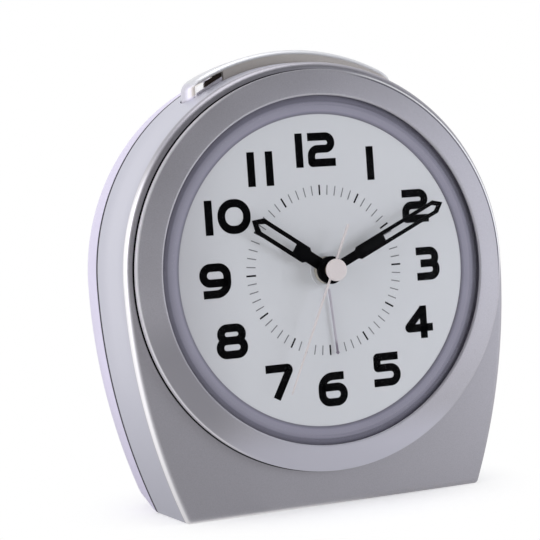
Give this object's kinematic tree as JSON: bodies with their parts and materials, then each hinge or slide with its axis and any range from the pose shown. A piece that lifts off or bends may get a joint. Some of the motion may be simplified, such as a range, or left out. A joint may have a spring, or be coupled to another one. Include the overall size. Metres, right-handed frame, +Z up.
{
  "type": "quartz alarm clock",
  "caption": "Upright quartz alarm clock with a round dial under a domed lens, a curved snooze bar on top, a side switch, and setting knobs and a battery door at the back.",
  "frame": {"origin": "on the table under the dial's axis, midway between the lens and the knobs at the back", "axes": "+X to the right as the dial is read, +Y from the dial to the back, +Z up"},
  "size_m": [0.1178, 0.0644, 0.1263],
  "materials": {
    "silver": "satin silver paint",
    "silver_pale": "satin silver paint",
    "surround": "satin",
    "clear": "polished clear",
    "dial": "matt off-white",
    "backlight": "matt",
    "hand_black": "black paint",
    "hand_pale": "satin",
    "hand_mauve": "satin",
    "smoked": "smoked, glossy",
    "nylon": "moulded",
    "brass": "machined",
    "steel": "plain",
    "copper": "enamelled winding",
    "board": "laminate",
    "dark_plastic": "moulded",
    "battery": "printed sleeve"
  },
  "bodies": {
    "case": {"front_case": "silver", "rear_case": "silver_pale", "bezel_ring": "silver", "lens": "clear", "dial_surround": "surround", "dial": "dial", "dial_backlight": "backlight", "dial_holder": "dark_plastic", "stator": "steel", "coil_core": "steel", "coil": "copper", "movement_plate": "dark_plastic", "train_plate": "nylon", "movement_cover": "dark_plastic", "snooze_spring": "steel", "light_sensor": "brass", "circuit_board": "board", "control_chip": "dark_plastic", "quartz_crystal": "steel", "snooze_switch": "dark_plastic", "board_screw_1": "steel", "board_screw_2": "steel", "case_screw_1": "steel", "case_screw_2": "steel", "case_screw_3": "steel", "case_screw_4": "steel", "movement_screw_1": "steel", "movement_screw_2": "steel", "alarm_switch_body": "dark_plastic", "battery": "battery", "contact_plate": "steel", "contact_spring": "steel", "buzzer": "dark_plastic"},
    "second": {"second_hand": "hand_pale", "second_wheel": "nylon"},
    "minute": {"minute_hand": "hand_black", "centre_wheel": "brass"},
    "hour": {"hour_hand": "hand_black", "hour_wheel": "nylon"},
    "third": {"third_wheel": "nylon"},
    "fifth": {"fifth_wheel": "nylon"},
    "motor": {"rotor": "steel"},
    "time_set": {"time_set_knob": "dark_plastic", "minute_wheel": "nylon"},
    "alarm": {"alarm_hand": "hand_mauve", "alarm_wheel": "nylon"},
    "alarm_set": {"alarm_set_knob": "dark_plastic", "alarm_set_pinion": "nylon"},
    "snooze": {"snooze_bar": "silver", "sensor_window": "smoked"},
    "side_switch": {"alarm_switch_knob": "silver"},
    "door": {"battery_door": "silver_pale"}
  },
  "joints": [
    {"name": "second_turn", "type": "hinge", "parent": "case", "child": "second", "pos_m": [0, 0, 0.0645], "axis": [0, 1, 0], "continuous": true},
    {"name": "minute_turn", "type": "hinge", "parent": "case", "child": "minute", "pos_m": [0, 0, 0.0645], "axis": [0, 1, 0], "continuous": true},
    {"name": "hour_turn", "type": "hinge", "parent": "case", "child": "hour", "pos_m": [0, 0, 0.0645], "axis": [0, 1, 0], "continuous": true},
    {"name": "third_turn", "type": "hinge", "parent": "case", "child": "third", "pos_m": [0.00186, 0, 0.07505], "axis": [0, 1, 0], "continuous": true},
    {"name": "fifth_turn", "type": "hinge", "parent": "case", "child": "fifth", "pos_m": [-0.0019, 0, 0.05375], "axis": [0, 1, 0], "continuous": true},
    {"name": "motor_turn", "type": "hinge", "parent": "case", "child": "motor", "pos_m": [0.00487, 0, 0.05128], "axis": [0, 1, 0], "continuous": true},
    {"name": "time_set_turn", "type": "hinge", "parent": "case", "child": "time_set", "pos_m": [0.01159, 0, 0.06139], "axis": [0, 1, 0], "continuous": true},
    {"name": "alarm_set_turn", "type": "hinge", "parent": "case", "child": "alarm_set", "pos_m": [-0.01391, 0, 0.06077], "axis": [0, 1, 0], "continuous": true},
    {"name": "alarm_turn", "type": "hinge", "parent": "case", "child": "alarm", "pos_m": [0, 0, 0.0645], "axis": [0, 1, 0], "continuous": true},
    {"name": "snooze_press", "type": "slide", "parent": "case", "child": "snooze", "axis": [0, 0, -1], "range_m": [0, 0.0014], "stiffness_N_per_m": 1500, "springref_m": -0.0005, "deforming": ["snooze_spring"]},
    {"name": "side_switch_slide", "type": "slide", "parent": "case", "child": "side_switch", "axis": [0, 0, 1], "range_m": [0, 0.004]},
    {"name": "door_swing", "type": "hinge", "parent": "case", "child": "door", "pos_m": [0, 0.02545, 0.0093], "axis": [-1, 0, 0], "range_deg": [0, 95]}
  ],
  "couplings": [
    {"joint": "minute_turn", "follows": "second_turn", "ratio": 0.016667},
    {"joint": "hour_turn", "follows": "second_turn", "ratio": 0.0013889},
    {"joint": "third_turn", "follows": "second_turn", "ratio": -0.13333},
    {"joint": "fifth_turn", "follows": "second_turn", "ratio": -6},
    {"joint": "motor_turn", "follows": "second_turn", "ratio": 30},
    {"joint": "time_set_turn", "follows": "second_turn", "ratio": -0.0055556},
    {"joint": "alarm_turn", "follows": "alarm_set_turn", "ratio": -1}
  ]
}
